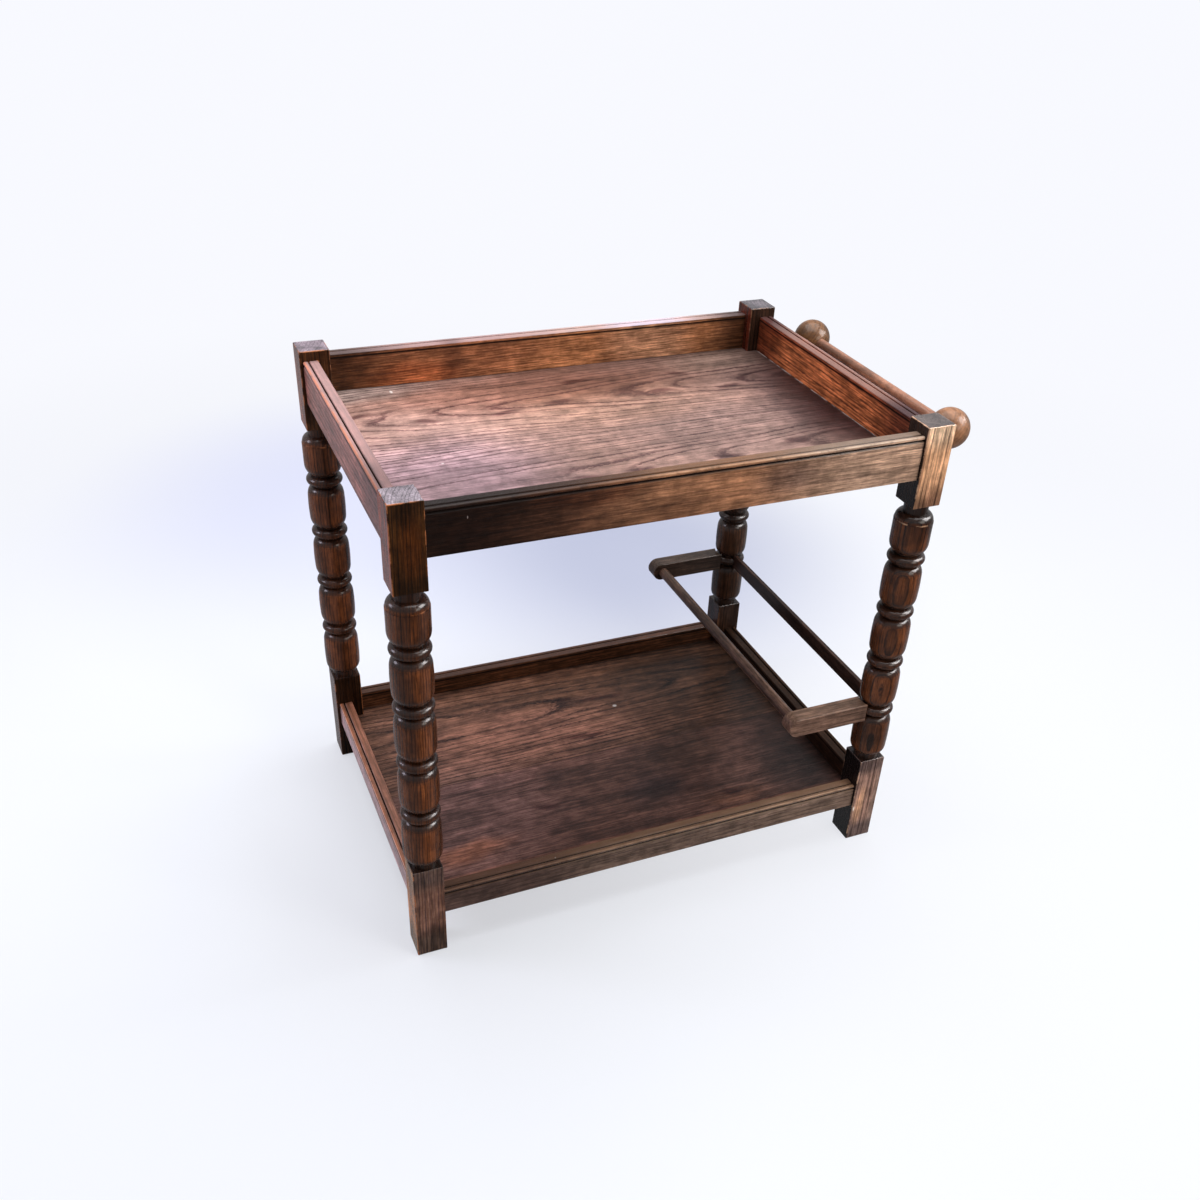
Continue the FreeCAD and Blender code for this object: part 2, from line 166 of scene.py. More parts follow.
# Polish of the oak
ROUGHNESS = (0.28, 0.48)
COAT_SHARE = 0.04
SHEEN_SHARE = 0.13
FRONT_SHARE = 0.6
COAT_ROUGHNESS = 0.16
FLAT_COAT_SHARE = 0.03
MOTTLE_DULL_SHARE = 0.6
DULL_RANGE = (0.1, 1.1)
BUMP_DEPTH = 0.0004
BUMP_STRENGTH = 0.5
FIBRE_RISE_SHARE = 0.5

# Reach of a zone that covers the whole piece along that axis
WHOLE = 9.0

# Looks of the posts. Zones and marks are (centre from the piece's middle, reach, tint or tone, share).
POST_FIGURE = {"waviness": 0.003, "wander": 0.015, "ragged": 0.15,
               "streak share": 0.25, "pore share": 0.6, "fibre share": 0.35}
POST_LOOKS = {
    "post_front_left": {
        "seed": (1.3, 0.2, 0.7), "ring": 0.0046, "mottle share": 0.50,
        "pith": (0, 0.095, -0.050), "lean": (0, 0.02, 0.01),
        "late": (0.075, 0.026, 0.006), "early": (0.012, 0.006, 0.003), "foot tint": (2.75, 3.8, 10.8),
        "shaft late": (0.150, 0.044, 0.013), "shaft early": (0.006, 0.004, 0.003),
        "worn": (0.42, 0.14, 0.05), "left painted shading": (4.0, 1.8, 2.0), "foot left painted shading": (3.6, 3.0, 1.6),
        "end late with painted sheen": (0.235, 0.200, 0.230), "end early with painted sheen": (0.075, 0.062, 0.075),
        "zones": (((0.004, -0.022, 0.31), (0.020, 0.02, 0.06), (2.1, 1.6, 1.1), 0.9),
                  ((0, -0.022, 0.255), (WHOLE, 0.03, 0.022), (0.50, 0.55, 0.60), 0.8),
                  ((0, -0.022, 0.360), (WHOLE, 0.03, 0.030), (0.45, 0.50, 0.65), 0.85),
                  ((0.016, 0, -0.285), (0.012, WHOLE, 0.13), (1.45, 1.40, 1.35), 0.9),
                  ((0, 0, -0.355), (WHOLE, WHOLE, 0.050), (0.32, 0.42, 0.46), 0.9),
                  ((0, 0, -0.215), (WHOLE, WHOLE, 0.040), (0.45, 0.60, 0.72), 0.85)),
        "marks": ()},
    "post_front_right": {
        "seed": (4.1, 1.9, 3.3), "ring": 0.0045, "mottle share": 0.75,
        "pith": (0, 0.060, 0.100), "lean": (0, 0.01, 0.0),
        "late": (0.70, 0.38, 0.210), "early": (0.090, 0.045, 0.030), "foot tint": (0.44, 0.46, 0.62),
        "shaft late": (0.135, 0.041, 0.013), "shaft early": (0.006, 0.004, 0.003),
        "worn": (0.55, 0.32, 0.20), "left painted shading": (0.03, 0.03, 0.035), "foot left painted shading": (0.035, 0.035, 0.04),
        "end late with painted sheen": (0.070, 0.055, 0.050), "end early with painted sheen": (0.025, 0.020, 0.020),
        "zones": (((-0.021, -0.022, 0.30), (0.004, 0.02, 0.09), (0.45, 0.38, 0.38), 0.7),
                  ((0.010, 0, 0.240), (0.05, WHOLE, 0.070), (0.22, 0.19, 0.21), 0.92),
                  ((0.0, -0.022, 0.368), (0.05, 0.03, 0.045), (1.05, 1.35, 1.65), 0.9),
                  ((-0.011, -0.022, -0.300), (0.011, 0.02, 0.055), (2.0, 1.9, 1.5), 0.85),
                  ((0, 0, -0.355), (WHOLE, WHOLE, 0.035), (0.33, 0.40, 0.50), 0.85),
                  ((0.018, 0, -0.290), (0.010, WHOLE, 0.10), (0.75, 0.85, 0.90), 0.9),
                  ((0, 0, -0.153), (WHOLE, WHOLE, 0.040), (0.42, 0.46, 0.55), 0.8),
                  ((0, 0, -0.215), (WHOLE, WHOLE, 0.025), (0.35, 0.40, 0.48), 0.85)),
        "marks": (((-0.0185, -0.0222, -0.302), (0.0022, 0.004, 0.007), (0.85, 0.78, 0.70), 0.9),)},
    "post_back_left": {
        "seed": (7.7, 5.2, 2.1), "ring": 0.0048, "mottle share": 0.55,
        "pith": (0, -0.110, 0.045), "lean": (0, 0.01, 0.02),
        "late": (0.070, 0.027, 0.011), "early": (0.008, 0.005, 0.004), "foot tint": (0.50, 0.50, 0.55),
        "shaft late": (0.160, 0.048, 0.016), "shaft early": (0.007, 0.004, 0.004),
        "worn": (0.42, 0.15, 0.06), "left painted shading": (3.2, 2.2, 2.6), "foot left painted shading": (3.2, 2.6, 3.2),
        "end late with painted sheen": (0.20, 0.155, 0.185), "end early with painted sheen": (0.07, 0.052, 0.066),
        "zones": (),
        "marks": (((-0.009, -0.0222, 0.350), (0.005, 0.004, 0.004), (0.70, 0.22, 0.05), 0.9),
                  ((0.003, -0.0222, 0.352), (0.004, 0.004, 0.003), (0.70, 0.22, 0.05), 0.9))},
    "post_back_right": {
        "seed": (2.9, 8.4, 6.5), "ring": 0.0056, "mottle share": 0.55,
        "pith": (0, 0.090, -0.030), "lean": (0, 0.0, 0.02),
        "late": (0.050, 0.024, 0.015), "early": (0.009, 0.006, 0.005), "foot tint": (0.8, 0.8, 0.8),
        "shaft late": (0.064, 0.027, 0.014), "shaft early": (0.007, 0.005, 0.004),
        "worn": (0.22, 0.11, 0.06), "left painted shading": (2.6, 1.1, 0.9), "foot left painted shading": (0.8, 0.6, 0.65),
        "end late with painted sheen": (0.080, 0.068, 0.078), "end early with painted sheen": (0.035, 0.030, 0.034),
        "zones": (),
        "marks": ()},
}

# Looks of the rails. On upward faces the top colour is painted light and shade, on left faces the left
# painted shading is painted light, and the worn colour on the bead's crest is rubbed wood with a painted
# highlight.
RAIL_FIGURE = {"waviness": 0.005, "wander": 0.03, "ragged": 0.30, "mottle share": 0.78,
               "fibre share": 0.32, "pore share": 0.75, "sheen share": SHEEN_SHARE,
               "left painted shading": (1.0, 1.0, 1.0)}
RAIL_SEED = (3.1, 1.7, 5.3)
RAIL_LOOKS = {
    "upper_rail_front": {
        "late": (0.280, 0.128, 0.066), "early": (0.175, 0.078, 0.041), "ring": 0.0050, "streak share": 0.32,
        "pith": (0, 0.085, -0.045), "lean": (0, 0.01, 0.03), "worn": (0.46, 0.25, 0.14),
        "top": (0.115, 0.062, 0.035), "top painted light share": 0.80, "rub and highlight share": 0.8,
        "sheen share": 0.10,
        "zones": (((-0.42, 0, 0), (0.44, WHOLE, WHOLE), (0.06, 0.05, 0.05), 0.97),
                  ((-0.24, 0, 0), (0.22, WHOLE, WHOLE), (0.40, 0.34, 0.36), 0.85),
                  # Paler and greyer towards the right end: painted reflection
                  ((0.32, 0, 0), (0.26, WHOLE, WHOLE), (1.30, 1.85, 2.55), 0.85),
                  ((0.14, 0, 0.0), (0.07, WHOLE, 0.03), (0.40, 0.42, 0.50), 0.8),
                  ((-0.02, 0, -0.02), (0.05, WHOLE, 0.02), (0.45, 0.42, 0.42), 0.7),
                  ((-0.15, 0, 0.02), (0.12, WHOLE, 0.02), (0.75, 0.60, 0.52), 0.8)),
        "marks": (((-0.294, -0.0107, 0.0140), (0.0010, 0.003, 0.0026), (0.30, 0.24, 0.22), 0.8),)},
    "upper_rail_back": {
        "late": (0.370, 0.155, 0.068), "early": (0.190, 0.070, 0.032), "ring": 0.0036, "streak share": 0.45,
        "pith": (0, -0.050, -0.080), "lean": (0, 0.0, 0.035), "worn": (0.45, 0.34, 0.32),
        "top": (0.40, 0.30, 0.29), "top painted light share": 0.75, "rub and highlight share": 0.6,
        "zones": (((-0.37, 0, 0), (0.18, WHOLE, WHOLE), (0.15, 0.13, 0.13), 0.9),
                  ((0.17, 0, 0.01), (0.10, WHOLE, WHOLE), (1.30, 1.60, 2.10), 0.85),
                  ((-0.16, 0, 0), (0.22, WHOLE, WHOLE), (0.80, 0.74, 0.80), 0.9),
                  ((0.37, 0, 0), (0.14, WHOLE, WHOLE), (0.14, 0.13, 0.14), 0.95),
                  ((-0.16, 0, 0.01), (0.035, WHOLE, 0.05), (0.40, 0.38, 0.40), 0.8),
                  ((0.12, 0, -0.03), (0.08, WHOLE, 0.03), (0.45, 0.40, 0.38), 0.8),
                  ((-0.22, 0, -0.015), (0.10, WHOLE, 0.03), (1.30, 0.95, 0.75), 0.8),
                  ((0.0, 0, -0.040), (0.60, WHOLE, 0.016), (0.35, 0.32, 0.32), 0.8)),
        "marks": ()},
    "upper_rail_left": {
        "late": (0.250, 0.105, 0.088), "early": (0.070, 0.032, 0.028), "ring": 0.0048, "streak share": 0.30,
        "pith": (0, 0.070, -0.060), "lean": (0, 0.01, 0.02), "worn": (0.66, 0.22, 0.10),
        "top": (0.40, 0.27, 0.26), "top painted light share": 0.60, "rub and highlight share": 0.8,
        "left painted shading": (1.35, 1.30, 1.25),
        "zones": (((0, -0.22, 0), (WHOLE, 0.17, WHOLE), (0.45, 0.45, 0.47), 0.9),),
        "marks": ()},
    "upper_rail_right": {
        "late": (0.460, 0.140, 0.052), "early": (0.085, 0.024, 0.011), "ring": 0.0036, "streak share": 0.55,
        "pith": (0, 0.055, -0.055), "lean": (0, 0.01, 0.03), "worn": (0.55, 0.44, 0.38),
        "top": (0.27, 0.20, 0.16), "top painted light share": 0.88, "rub and highlight share": 0.8,
        "sheen share": 0.10,
        "zones": (((0, -0.22, 0), (WHOLE, 0.13, WHOLE), (0.16, 0.13, 0.20), 0.9),
                  ((0, 0.24, 0), (WHOLE, 0.13, WHOLE), (0.22, 0.16, 0.20), 0.9),
                  ((0, 0, 0.030), (WHOLE, 0.6, 0.012), (0.60, 0.40, 0.42), 0.8)),
        "marks": ()},
    "lower_rail_front": {
        "late": (0.150, 0.096, 0.072), "early": (0.085, 0.056, 0.044), "ring": 0.0050, "streak share": 0.30,
        "pith": (0, 0.070, -0.060), "lean": (0, 0.0, 0.02), "worn": (0.34, 0.20, 0.12),
        "top": (0.165, 0.090, 0.048), "top painted light share": 0.70, "rub and highlight share": 0.7,
        "zones": (((-0.30, 0, 0), (0.24, WHOLE, WHOLE), (0.50, 0.42, 0.45), 0.8),
                  ((0.30, 0, 0), (0.24, WHOLE, WHOLE), (1.35, 1.35, 1.30), 0.8)),
        "marks": (((-0.171, 0.0, 0.0209), (0.0014, 0.0014, 0.003), (0.60, 0.56, 0.52), 0.9),)},
    "lower_rail_back": {
        "late": (0.080, 0.030, 0.014), "early": (0.013, 0.007, 0.004), "ring": 0.0046, "streak share": 0.40,
        "pith": (0, -0.060, -0.060), "lean": (0, 0.0, 0.01), "worn": (0.16, 0.06, 0.03),
        "top": (0.10, 0.06, 0.05), "top painted light share": 0.4, "rub and highlight share": 0.5,
        "sheen share": 0.10,
        "zones": (), "marks": ()},
    "lower_rail_left": {
        "late": (0.260, 0.110, 0.072), "early": (0.060, 0.028, 0.020), "ring": 0.0050, "streak share": 0.35,
        "pith": (0, 0.060, -0.060), "lean": (0, 0.0, 0.02), "worn": (0.55, 0.18, 0.07),
        "top": (0.30, 0.12, 0.06), "top painted light share": 0.35, "rub and highlight share": 0.8,
        "left painted shading": (2.2, 3.2, 4.8), "sheen share": 0.40,
        "zones": (), "marks": ()},
    # Its near-black tone is partly painted shade from the rack and the post
    "lower_rail_right": {
        "late": (0.026, 0.011, 0.006), "early": (0.008, 0.004, 0.003), "ring": 0.0050, "streak share": 0.45,
        "pith": (0, 0.060, -0.060), "lean": (0, 0.0, 0.02), "worn": (0.14, 0.07, 0.045),
        "top": (0.030, 0.017, 0.010), "top painted light share": 0.4, "rub and highlight share": 0.5,
        "sheen share": 0.05,
        "zones": (), "marks": ()},
}

# Looks of the boards. Each is faced with two leaves that meet at the seam.
UPPER_BOARD = {
    "seed": (2.2, 4.4, 1.1), "ring": 0.0072, "waviness": 0.014, "mottle share": 0.82,
    "ragged": 0.45, "fibre share": 0.22, "streak share": 0.16, "wander": 0.06, "pore share": 0.55,
    "late": (0.243, 0.147, 0.120), "early": (0.046, 0.016, 0.017),
    "back pith": (0, 0.122, -0.070), "back lean": (0, 0.0, 0.06),
    "front pith": (0, -0.125, -0.060), "front lean": (0, 0.0, 0.05),
    # The zones that make the left half paler and more lilac are painted sheen of the light from the left
    "zones": (((0.34, 0.02, 0), (0.13, 0.26, WHOLE), (0.50, 0.48, 0.52), 0.85),
              ((-0.31, 0.235, 0), (0.15, 0.06, WHOLE), (1.35, 1.70, 1.85), 0.85),
              ((0.29, 0.21, 0), (0.15, 0.08, WHOLE), (1.00, 1.15, 1.12), 0.8),
              ((-0.05, 0.17, 0), (0.36, 0.11, WHOLE), (0.80, 0.60, 0.50), 0.85),
              ((0.05, 0.08, 0), (0.30, 0.10, WHOLE), (1.10, 1.05, 0.95), 0.7),
              ((-0.30, -0.10, 0), (0.26, 0.20, WHOLE), (0.88, 0.95, 1.32), 0.9),
              ((-0.26, 0.06, 0), (0.27, 0.17, WHOLE), (1.62, 1.65, 1.70), 0.9),
              ((0.02, 0.10, 0), (0.20, 0.12, WHOLE), (1.15, 1.15, 1.10), 0.8),
              ((0.16, 0.21, 0), (0.42, 0.17, WHOLE), (0.54, 0.52, 0.52), 0.9),
              ((0.18, -0.06, 0), (0.20, 0.16, WHOLE), (0.80, 0.84, 0.88), 0.8),
              ((0.40, -0.02, 0), (0.17, 0.42, WHOLE), (0.10, 0.05, 0.07), 0.96)),
    "band": (1.0, 1.0, 1.0), "front tint": (1.0, 1.0, 1.0), "front line share": 1.0, "dust share": 0.55,
    "flames": ((-0.245, 0.100), (-0.120, 0.095), (-0.035, 0.108), (0.130, 0.105), (0.245, 0.100),
               (-0.33, 0.145), (0.02, 0.185), (0.19, 0.175), (-0.09, -0.130), (-0.015, -0.132),
               (0.130, -0.130), (0.245, -0.122)),
    "marks": (((-0.2585, -0.041, 0.004), (0.0030, 0.0024, 0.01), (0.85, 0.82, 0.80), 0.8),
              ((-0.262, 0.222, 0.004), (0.003, 0.007, 0.01), (0.80, 0.76, 0.72), 0.7))}
LOWER_BOARD = {
    "seed": (6.2, 1.4, 3.1), "ring": 0.0078, "waviness": 0.012, "mottle share": 0.55,
    "ragged": 0.45, "fibre share": 0.30, "streak share": 0.35, "wander": 0.06, "pore share": 0.65,
    "late": (0.150, 0.072, 0.047), "early": (0.010, 0.005, 0.005),
    "back pith": (0, 0.145, -0.075), "back lean": (0, 0.0, -0.035),
    "front pith": (0, -0.52, -0.10), "front lean": (0, 0.01, 0.02),
    "zones": (((-0.05, 0.12, 0), (0.42, 0.15, WHOLE), (1.40, 1.36, 1.35), 0.85),
              ((-0.13, 0.06, 0), (0.26, 0.13, WHOLE), (1.70, 1.65, 1.75), 0.9),
              ((0.26, 0.17, 0), (0.32, 0.24, WHOLE), (0.36, 0.36, 0.32), 0.9),
              ((0.20, -0.12, 0), (0.36, 0.16, WHOLE), (0.72, 0.76, 0.80), 0.85),
              ((-0.27, -0.10, 0), (0.24, 0.18, WHOLE), (1.50, 1.62, 1.90), 0.85),
              ((-0.28, -0.17, 0), (0.10, 0.03, WHOLE), (1.7, 1.3, 0.9), 0.8),
              ((0.17, -0.19, 0), (0.08, 0.03, WHOLE), (1.8, 1.6, 1.3), 0.8),
              ((0.30, -0.16, 0), (0.10, 0.10, WHOLE), (0.42, 0.46, 0.50), 0.85),
              ((0.15, -0.05, 0), (0.12, 0.07, WHOLE), (0.70, 0.72, 0.66), 0.8),
              ((0.05, 0.19, 0), (0.30, 0.06, WHOLE), (0.72, 0.70, 0.62), 0.8),
              ((0.05, -0.13, 0), (0.08, 0.05, WHOLE), (0.45, 0.50, 0.60), 0.85),
              ((0.36, 0.0, 0), (0.14, 0.34, WHOLE), (0.34, 0.34, 0.34), 0.88)),
    "band": (2.6, 2.0, 1.5), "front tint": (0.80, 0.80, 0.92), "front line share": 0.35, "dust share": 0.0,
    "flames": ((0.000, 0.158), (0.045, 0.140), (0.080, 0.135), (-0.02, 0.048), (0.01, 0.040), (-0.13, -0.105),
               (0.17, -0.175)),
    "marks": (((0.080, 0.106, 0.004), (0.0050, 0.0045, 0.01), (0.75, 0.75, 0.72), 0.9),)}
SEAM = -0.0074
EDGE_SHADE_WIDTH = 0.012
FLAME_REACH = (0.034, 0.0095, WHOLE)
FLAME_TINT = (0.34, 0.24, 0.27)
DUST = (0.45, 0.38, 0.36)
DUST_START = 0.0080
DUST_END = 0.0062
JOINT_NEAR = 0.0004
JOINT_FAR = 0.0014
BAND_START = 0.030
BAND_END = 0.042
FLAME_SHARE = 0.9
JOINT_SHARE = 0.7
EDGE_SHADE_SHARE = 0.75
BOARD_ROUGHNESS = (0.30, 0.50)

# Looks of the handle and the rack
PLAIN_PITH = (0, 0.06, -0.05)
PLAIN_LEAN = (0, 0.02, 0.02)
HANDLE = {"seed": (0.4, 3.2, 8.8), "ring": 0.0050, "waviness": 0.003, "mottle share": 0.7,
          "ragged": 0.1, "fibre share": 0.10, "streak share": 0.08, "pore share": 0.12, "wander": 0.02,
          "coat share": 0.25, "top painted light tint": (1.1, 1.1, 1.1),
          "late": (0.205, 0.098, 0.062), "early": (0.135, 0.063, 0.038)}
RACK = {"seed": (5.5, 0.8, 2.7), "ring": 0.0050, "waviness": 0.003, "mottle share": 0.7,
        "ragged": 0.2, "fibre share": 0.35, "streak share": 0.3, "pore share": 0.5, "wander": 0.02,
        "coat share": 0.04, "top painted light tint": (1.35, 1.5, 1.5),
        "late": (0.095, 0.050, 0.035), "early": (0.040, 0.022, 0.016)}
FRONT_BALL = {**HANDLE, "late": (0.205, 0.100, 0.052), "early": (0.125, 0.058, 0.030), "coat share": 0.12}
BACK_BALL = {**HANDLE, "late": (0.120, 0.056, 0.024), "early": (0.066, 0.030, 0.014), "coat share": 0.20}
PILLAR = {**HANDLE, "late": (0.050, 0.032, 0.025), "early": (0.025, 0.016, 0.013)}
BACK_ARM = {**RACK, "late": (0.044, 0.026, 0.019), "early": (0.014, 0.009, 0.007)}
SLAT = {**RACK, "late": (0.034, 0.015, 0.010), "early": (0.010, 0.005, 0.004)}
FRONT_ARM = {**RACK, "late": (0.150, 0.082, 0.056)}

# Lamps
LAMPS = (
    {"name": "top_lamp", "place": (0.2, 0.3, 2.6), "target": (0, 0, 0.3), "side": 2.4, "power": 100,
     "tint": (1.0, 0.98, 0.98), "sheen_only": False},
    {"name": "left_lamp", "place": (-1.85, 0.5, 1.35), "target": (0, 0, 0.5), "side": 0.6, "power": 14,
     "tint": (0.90, 0.84, 1.0), "sheen_only": False},
    {"name": "front_lamp", "place": (0.80, -1.65, 1.25), "target": (0, 0, 0.5), "side": 0.8, "power": 16,
     "tint": (1.0, 0.93, 0.84), "sheen_only": False},
    {"name": "right_lamp", "place": (2.1, -0.3, 1.5), "target": (0, 0, 0.5), "side": 0.5, "power": 14,
     "tint": (1.0, 0.98, 0.96), "sheen_only": False},
    {"name": "sheen_lamp", "place": (1.6, -0.9, 1.8), "target": (0, -0.1, 0.5), "side": 1.1, "power": 95,
     "tint": (1.0, 0.97, 0.97), "sheen_only": True},
)


def make_camera():
    """Camera at the photograph's eye, with its roll and its off-centre frame."""
    azimuth = math.radians(VIEW_AZIMUTH)
    elevation = math.radians(VIEW_ELEVATION)
    roll = math.radians(VIEW_ROLL)
    level = math.cos(elevation)
    back = Vector((math.sin(azimuth) * level, -math.cos(azimuth) * level, math.sin(elevation)))
    right = Vector((0, 0, 1)).cross(back).normalized()
    up = back.cross(right)
    rolled_right = right * math.cos(roll) + up * math.sin(roll)
    rolled_up = up * math.cos(roll) - right * math.sin(roll)
    data = bpy.data.cameras.new("camera")
    data.sensor_fit = "HORIZONTAL"
    data.sensor_width = SENSOR_WIDTH
    data.lens = SENSOR_WIDTH * FOCAL_PIXELS / FRAME_PIXELS
    data.shift_x = 0.5 - CENTRE_PIXEL_X / FRAME_PIXELS
    data.shift_y = CENTRE_PIXEL_Y / FRAME_PIXELS - 0.5
    data.clip_end = 4 * FLOOR_HALF
    camera = bpy.data.objects.new("camera", data)
    bpy.context.scene.collection.objects.link(camera)
    turn = Matrix((rolled_right, rolled_up, back)).transposed()
    camera.matrix_world = Matrix.Translation(EYE) @ turn.to_4x4()
    bpy.context.scene.camera = camera


def color(rgb):
    """Colour with the fourth, opaque value that a socket takes."""
    return (rgb[0], rgb[1], rgb[2], 1.0)


class Tree:
    """Short calls that add nodes to one node tree."""

    def __init__(self, tree):
        self.tree = tree
        self.nodes = tree.nodes
        self.nodes.clear()

    def add(self, kind, **settings):
        """New node with its settings."""
        node = self.nodes.new(kind)
        for name, value in settings.items():
            setattr(node, name, value)
        return node

    def put(self, socket, value):
        """Links a socket to another node's output, or sets it to a value."""
        if isinstance(value, bpy.types.NodeSocket):
            self.tree.links.new(value, socket)
        elif value is not None:
            socket.default_value = value

    def math(self, operation, first, second=None, third=None):
        """Result of one operation on numbers."""
        node = self.add("ShaderNodeMath", operation=operation)
        for socket, value in zip(node.inputs, (first, second, third)):
            self.put(socket, value)
        return node.outputs[0]

    def vector(self, operation, first, second=None, third=None):
        """Result of one operation on vectors."""
        node = self.add("ShaderNodeVectorMath", operation=operation)
        for socket, value in zip(node.inputs, (first, second, third)):
            self.put(socket, value)
        return node.outputs["Value"] if operation == "LENGTH" else node.outputs[0]

    def combine(self, x=0.0, y=0.0, z=0.0):
        """Vector of three numbers."""
        node = self.add("ShaderNodeCombineXYZ")
        for socket, value in zip(node.inputs, (x, y, z)):
            self.put(socket, value)
        return node.outputs[0]

    def separate(self, vector):
        """The three numbers of a vector."""
        node = self.add("ShaderNodeSeparateXYZ")
        self.put(node.inputs[0], vector)
        return node.outputs[0], node.outputs[1], node.outputs[2]

    def noise(self, vector, detail=PLAIN_DETAIL, roughness=PLAIN_ROUGHNESS, output="Fac"):
        """Soft random values from zero to one, or three of them as a colour."""
        node = self.add("ShaderNodeTexNoise")
        self.put(node.inputs["Vector"], vector)
        node.inputs["Scale"].default_value = 1.0
        node.inputs["Detail"].default_value = detail
        node.inputs["Roughness"].default_value = roughness
        return node.outputs[output]

    def smooth(self, value, low, high, start=0.0, end=1.0):
        """Eased step from start to end as the value runs from low to high."""
        node = self.add("ShaderNodeMapRange", interpolation_type="SMOOTHSTEP")
        for socket, given in zip(node.inputs, (value, low, high, start, end)):
            self.put(socket, given)
        return node.outputs[0]

    def mix(self, share, first, second, blend="MIX", kind="RGBA"):
        """The first of two colours or vectors, with a share of the second laid on it."""
        node = self.add("ShaderNodeMix", data_type=kind)
        if kind == "RGBA":
            node.blend_type = blend
            first = color(first) if isinstance(first, tuple) else first
            second = color(second) if isinstance(second, tuple) else second
        live = [socket for socket in node.inputs if socket.enabled]
        for socket, value in zip(live, (share, first, second)):
            self.put(socket, value)
        return [socket for socket in node.outputs if socket.enabled][0]

    def both(self, *masks):
        """Product of masks."""
        product = masks[0]
        for mask in masks[1:]:
            product = self.math("MULTIPLY", product, mask)
        return product

    def either(self, *masks):
        """Largest of masks."""
        largest = masks[0]
        for mask in masks[1:]:
            largest = self.math("MAXIMUM", largest, mask)
        return largest


def seen_rays(tree):
    """One for the rays that show the backdrop: camera, mirror and glass rays."""
    path = tree.add("ShaderNodeLightPath").outputs
    return tree.either(path["Is Camera Ray"], path["Is Glossy Ray"], path["Is Transmission Ray"])


def make_floor():
    """Pale floor that glows where it is seen, with painted shadows of the cart behind it, and still takes the
    cart's own shadow.
    """
    mesh = bpy.data.meshes.new("floor")
    corners = [(-FLOOR_HALF, -FLOOR_HALF, 0), (FLOOR_HALF, -FLOOR_HALF, 0),
               (FLOOR_HALF, FLOOR_HALF, 0), (-FLOOR_HALF, FLOOR_HALF, 0)]
    mesh.from_pydata(corners, [], [(0, 1, 2, 3)])
    floor = bpy.data.objects.new("floor", mesh)
    bpy.context.scene.collection.objects.link(floor)
    material = bpy.data.materials.new("floor")
    material.use_nodes = True
    tree = Tree(material.node_tree)
    diffuse = tree.add("ShaderNodeBsdfDiffuse")
    diffuse.inputs["Color"].default_value = color(FLOOR_COLOR)
    glow = tree.add("ShaderNodeEmission")
    position = tree.add("ShaderNodeNewGeometry").outputs["Position"]
    distance = tree.vector("LENGTH", position)
    along = tree.separate(position)[0]
    # Painted light: the glow share near the cart grows from left to right
    near = tree.smooth(along, -FLOOR_TURN, FLOOR_TURN, FLOOR_NEAR_SHARE, FLOOR_LIT_SHARE)
    share = tree.smooth(distance, FLOOR_NEAR, FLOOR_FAR, near, 1.0)
    # Painted shadows of the cart, laid on the glow
    lilac_shadow_gap = tree.vector("LENGTH", tree.vector("SUBTRACT", position, LILAC_SHADOW_PLACE))
    tint = tree.mix(tree.smooth(lilac_shadow_gap, LILAC_SHADOW_CORE, LILAC_SHADOW_REACH, 1.0, 0.0), BACKDROP_COLOR, LILAC_SHADOW_COLOR)
    middle_shadow_gap = tree.vector("LENGTH", tree.vector("SUBTRACT", position, MIDDLE_SHADOW_PLACE))
    tint = tree.mix(tree.smooth(middle_shadow_gap, MIDDLE_SHADOW_CORE, MIDDLE_SHADOW_REACH, MIDDLE_SHADOW_SHARE, 0.0), tint, MIDDLE_SHADOW_COLOR)
    tree.put(glow.inputs["Color"], tint)
    mixed = tree.add("ShaderNodeMixShader")
    tree.put(mixed.inputs[0], tree.both(share, seen_rays(tree)))
    tree.put(mixed.inputs[1], diffuse.outputs[0])
    tree.put(mixed.inputs[2], glow.outputs[0])
    dimmed = tree.add("ShaderNodeMixShader")
    glossy = tree.add("ShaderNodeLightPath").outputs["Is Glossy Ray"]
    tree.put(dimmed.inputs[0], tree.math("MULTIPLY", glossy, 1 - FLOOR_SHEEN_SHARE))
    tree.put(dimmed.inputs[1], mixed.outputs[0])
    output = tree.add("ShaderNodeOutputMaterial")
    tree.put(output.inputs["Surface"], dimmed.outputs[0])
    mesh.materials.append(material)


def make_world():
    """Pale surroundings, bright to the camera and in mirrors, weak as a light."""
    world = bpy.data.worlds.new("studio")
    bpy.context.scene.world = world
    world.use_nodes = True
    tree = Tree(world.node_tree)
    path = tree.add("ShaderNodeLightPath").outputs
    background = tree.add("ShaderNodeBackground")
    background.inputs["Color"].default_value = color(BACKDROP_COLOR)
    glossy = tree.smooth(path["Is Glossy Ray"], 0.0, 1.0, WORLD_STRENGTH, GLOSS_STRENGTH)
    strength = tree.math("MAXIMUM", path["Is Camera Ray"], glossy)
    tree.put(background.inputs["Strength"], strength)
    output = tree.add("ShaderNodeOutputWorld")
    tree.put(output.inputs["Surface"], background.outputs[0])


def area_lamp(name, place, target, side, power, tint, sheen_only):
    """Square lamp aimed at a target. A sheen lamp shows only in gloss."""
    data = bpy.data.lights.new(name, "AREA")
    data.shape = "SQUARE"
    data.size = side
    data.energy = power
    data.color = tint
    lamp = bpy.data.objects.new(name, data)
    bpy.context.scene.collection.objects.link(lamp)
    place = Vector(place)
    lamp.location = place
    lamp.rotation_euler = (Vector(target) - place).to_track_quat("-Z", "Y").to_euler()
    lamp.visible_camera = False
    lamp.visible_diffuse = not sheen_only


